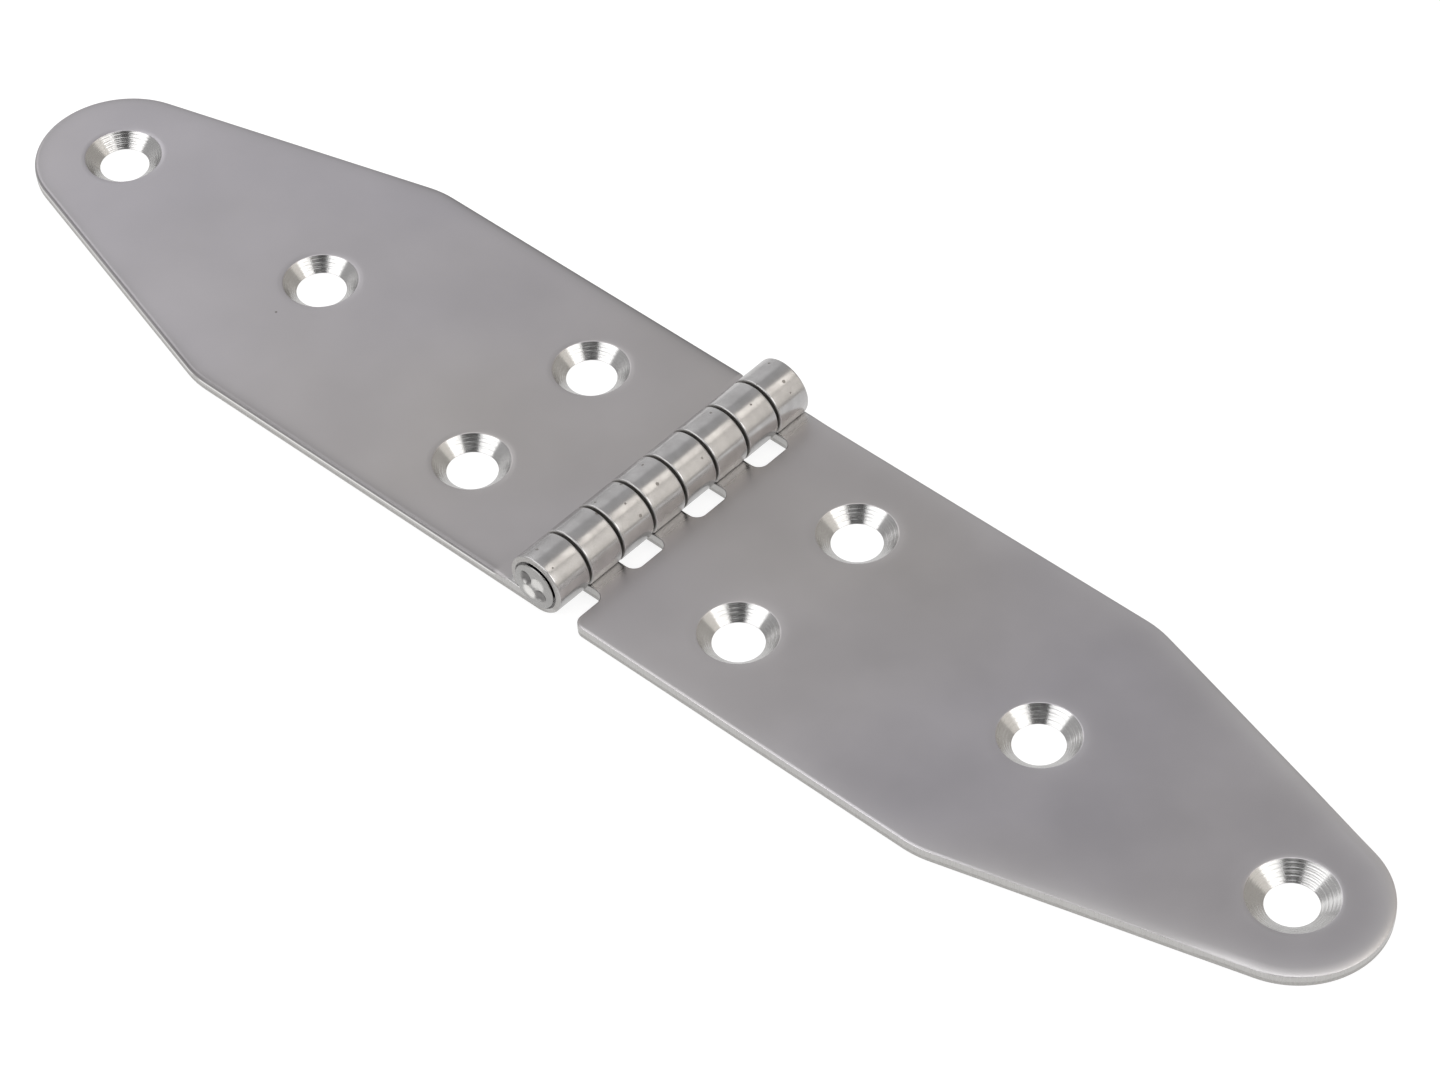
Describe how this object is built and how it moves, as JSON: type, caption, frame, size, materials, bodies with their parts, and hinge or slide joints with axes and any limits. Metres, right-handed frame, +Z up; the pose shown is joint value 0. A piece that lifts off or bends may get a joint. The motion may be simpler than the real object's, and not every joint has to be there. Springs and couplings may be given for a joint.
{
  "type": "strap hinge",
  "caption": "Flat stainless strap hinge: tapered round-ended leaves with countersunk screw holes, rolled interleaved knuckles and a riveted pin; the leaves fold about the pin.",
  "frame": {"origin": "on the mounting plane, under the middle of the pin", "axes": "+X along the right leaf, square to the pin; +Y along the pin; +Z up from the mounting plane, towards the barrel"},
  "size_m": [0.24, 0.0514, 0.0091],
  "materials": {
    "leaf_steel": "satin tumbled stainless sheet",
    "pin_steel": "bright stainless rod, ends spread by a punch"
  },
  "bodies": {
    "left": {"left_leaf": "leaf_steel", "hinge_pin": "pin_steel"},
    "right": {"right_leaf": "leaf_steel"}
  },
  "joints": [
    {"name": "leaf_fold", "type": "hinge", "parent": "left", "child": "right", "pos_m": [0, 0, 0.00455], "axis": [0, -1, 0], "range_deg": [-100, 180]}
  ]
}
